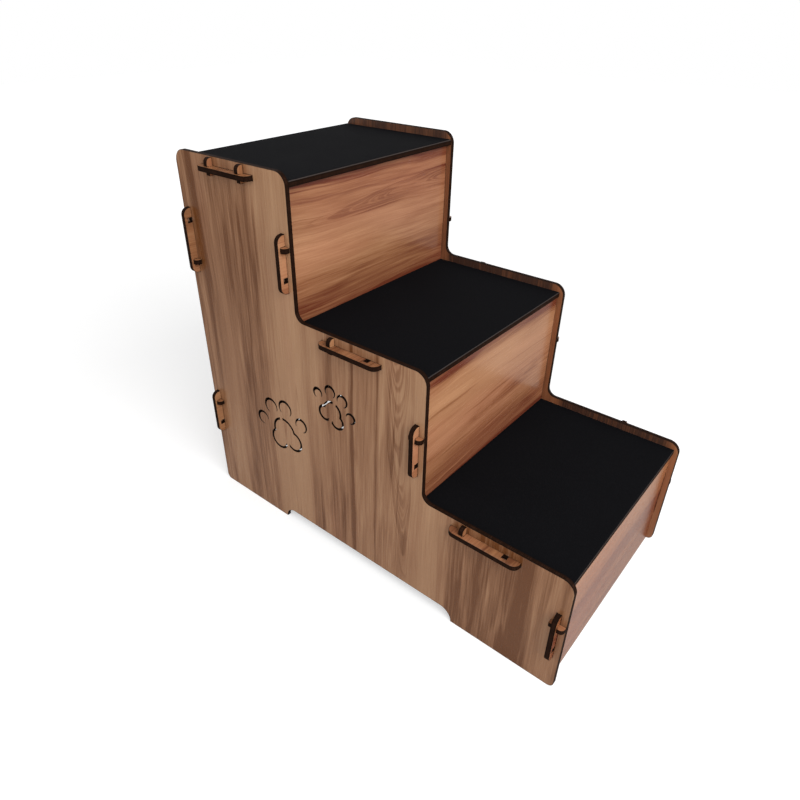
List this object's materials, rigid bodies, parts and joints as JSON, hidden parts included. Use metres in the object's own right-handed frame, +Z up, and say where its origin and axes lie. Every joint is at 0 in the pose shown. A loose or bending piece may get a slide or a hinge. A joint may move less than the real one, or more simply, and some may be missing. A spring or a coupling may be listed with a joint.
{
  "type": "pet stairs",
  "caption": "Stepped pet stairs of flat laminated boards, slotted together with tabs and locked by small pegs, with black non-slip mats on the treads.",
  "frame": {"origin": "on the floor, under the middle of the stairs", "axes": "+X forward, down the steps; +Y to the right of somebody who climbs; +Z up"},
  "size_m": [0.6, 0.342, 0.525],
  "materials": {
    "panel_wood": "satin laminate, dark cut edges",
    "board_wood": "satin laminate, dark cut edges",
    "peg_wood": "satin laminate, dark cut edges",
    "mat_rubber": "matte, fine grain"
  },
  "bodies": {
    "stairs": {"side_panel_left": "panel_wood", "side_panel_right": "panel_wood", "tread_lower": "board_wood", "tread_middle": "board_wood", "tread_upper": "board_wood", "mat_lower": "mat_rubber", "mat_middle": "mat_rubber", "mat_upper": "mat_rubber", "riser_lower": "board_wood", "riser_middle": "board_wood", "riser_upper": "board_wood", "back_lower": "board_wood", "back_upper": "board_wood"},
    "peg_left_tread_lower_rear": {"peg_left_tread_lower_rear": "peg_wood"},
    "peg_left_tread_middle_rear": {"peg_left_tread_middle_rear": "peg_wood"},
    "peg_left_tread_upper_rear": {"peg_left_tread_upper_rear": "peg_wood"},
    "peg_left_tread_upper_front": {"peg_left_tread_upper_front": "peg_wood"},
    "peg_left_riser_lower_high": {"peg_left_riser_lower_high": "peg_wood"},
    "peg_left_riser_middle_high": {"peg_left_riser_middle_high": "peg_wood"},
    "peg_left_riser_upper_high": {"peg_left_riser_upper_high": "peg_wood"},
    "peg_left_back_lower_high": {"peg_left_back_lower_high": "peg_wood"},
    "peg_left_back_upper_low": {"peg_left_back_upper_low": "peg_wood"},
    "peg_right_tread_lower_front": {"peg_right_tread_lower_front": "peg_wood"},
    "peg_right_tread_middle_rear": {"peg_right_tread_middle_rear": "peg_wood"},
    "peg_right_tread_upper_rear": {"peg_right_tread_upper_rear": "peg_wood"},
    "peg_right_tread_upper_front": {"peg_right_tread_upper_front": "peg_wood"},
    "peg_right_riser_lower_high": {"peg_right_riser_lower_high": "peg_wood"},
    "peg_right_riser_middle_high": {"peg_right_riser_middle_high": "peg_wood"},
    "peg_right_riser_upper_low": {"peg_right_riser_upper_low": "peg_wood"},
    "peg_right_back_lower_high": {"peg_right_back_lower_high": "peg_wood"},
    "peg_right_back_upper_low": {"peg_right_back_upper_low": "peg_wood"}
  },
  "joints": [
    {"name": "pull_left_tread_lower_rear", "type": "slide", "parent": "stairs", "child": "peg_left_tread_lower_rear", "axis": [0, 0, 1], "range_m": [0, 0.014]},
    {"name": "pull_left_tread_middle_rear", "type": "slide", "parent": "stairs", "child": "peg_left_tread_middle_rear", "axis": [0, 0, 1], "range_m": [0, 0.014]},
    {"name": "pull_left_tread_upper_rear", "type": "slide", "parent": "stairs", "child": "peg_left_tread_upper_rear", "axis": [0, 0, 1], "range_m": [0, 0.014]},
    {"name": "pull_left_tread_upper_front", "type": "slide", "parent": "stairs", "child": "peg_left_tread_upper_front", "axis": [0, 0, 1], "range_m": [0, 0.014]},
    {"name": "pull_left_riser_lower_high", "type": "slide", "parent": "stairs", "child": "peg_left_riser_lower_high", "axis": [1, 0, 0], "range_m": [0, 0.014]},
    {"name": "pull_left_riser_middle_high", "type": "slide", "parent": "stairs", "child": "peg_left_riser_middle_high", "axis": [1, 0, 0], "range_m": [0, 0.014]},
    {"name": "pull_left_riser_upper_high", "type": "slide", "parent": "stairs", "child": "peg_left_riser_upper_high", "axis": [1, 0, 0], "range_m": [0, 0.014]},
    {"name": "pull_left_back_lower_high", "type": "slide", "parent": "stairs", "child": "peg_left_back_lower_high", "axis": [1, 0, 0], "range_m": [0, 0.014]},
    {"name": "pull_left_back_upper_low", "type": "slide", "parent": "stairs", "child": "peg_left_back_upper_low", "axis": [1, 0, 0], "range_m": [0, 0.014]},
    {"name": "pull_right_tread_lower_front", "type": "slide", "parent": "stairs", "child": "peg_right_tread_lower_front", "axis": [0, 0, 1], "range_m": [0, 0.014]},
    {"name": "pull_right_tread_middle_rear", "type": "slide", "parent": "stairs", "child": "peg_right_tread_middle_rear", "axis": [0, 0, 1], "range_m": [0, 0.014]},
    {"name": "pull_right_tread_upper_rear", "type": "slide", "parent": "stairs", "child": "peg_right_tread_upper_rear", "axis": [0, 0, 1], "range_m": [0, 0.014]},
    {"name": "pull_right_tread_upper_front", "type": "slide", "parent": "stairs", "child": "peg_right_tread_upper_front", "axis": [0, 0, 1], "range_m": [0, 0.014]},
    {"name": "pull_right_riser_lower_high", "type": "slide", "parent": "stairs", "child": "peg_right_riser_lower_high", "axis": [1, 0, 0], "range_m": [0, 0.014]},
    {"name": "pull_right_riser_middle_high", "type": "slide", "parent": "stairs", "child": "peg_right_riser_middle_high", "axis": [1, 0, 0], "range_m": [0, 0.014]},
    {"name": "pull_right_riser_upper_low", "type": "slide", "parent": "stairs", "child": "peg_right_riser_upper_low", "axis": [1, 0, 0], "range_m": [0, 0.014]},
    {"name": "pull_right_back_lower_high", "type": "slide", "parent": "stairs", "child": "peg_right_back_lower_high", "axis": [1, 0, 0], "range_m": [0, 0.014]},
    {"name": "pull_right_back_upper_low", "type": "slide", "parent": "stairs", "child": "peg_right_back_upper_low", "axis": [1, 0, 0], "range_m": [0, 0.014]}
  ]
}
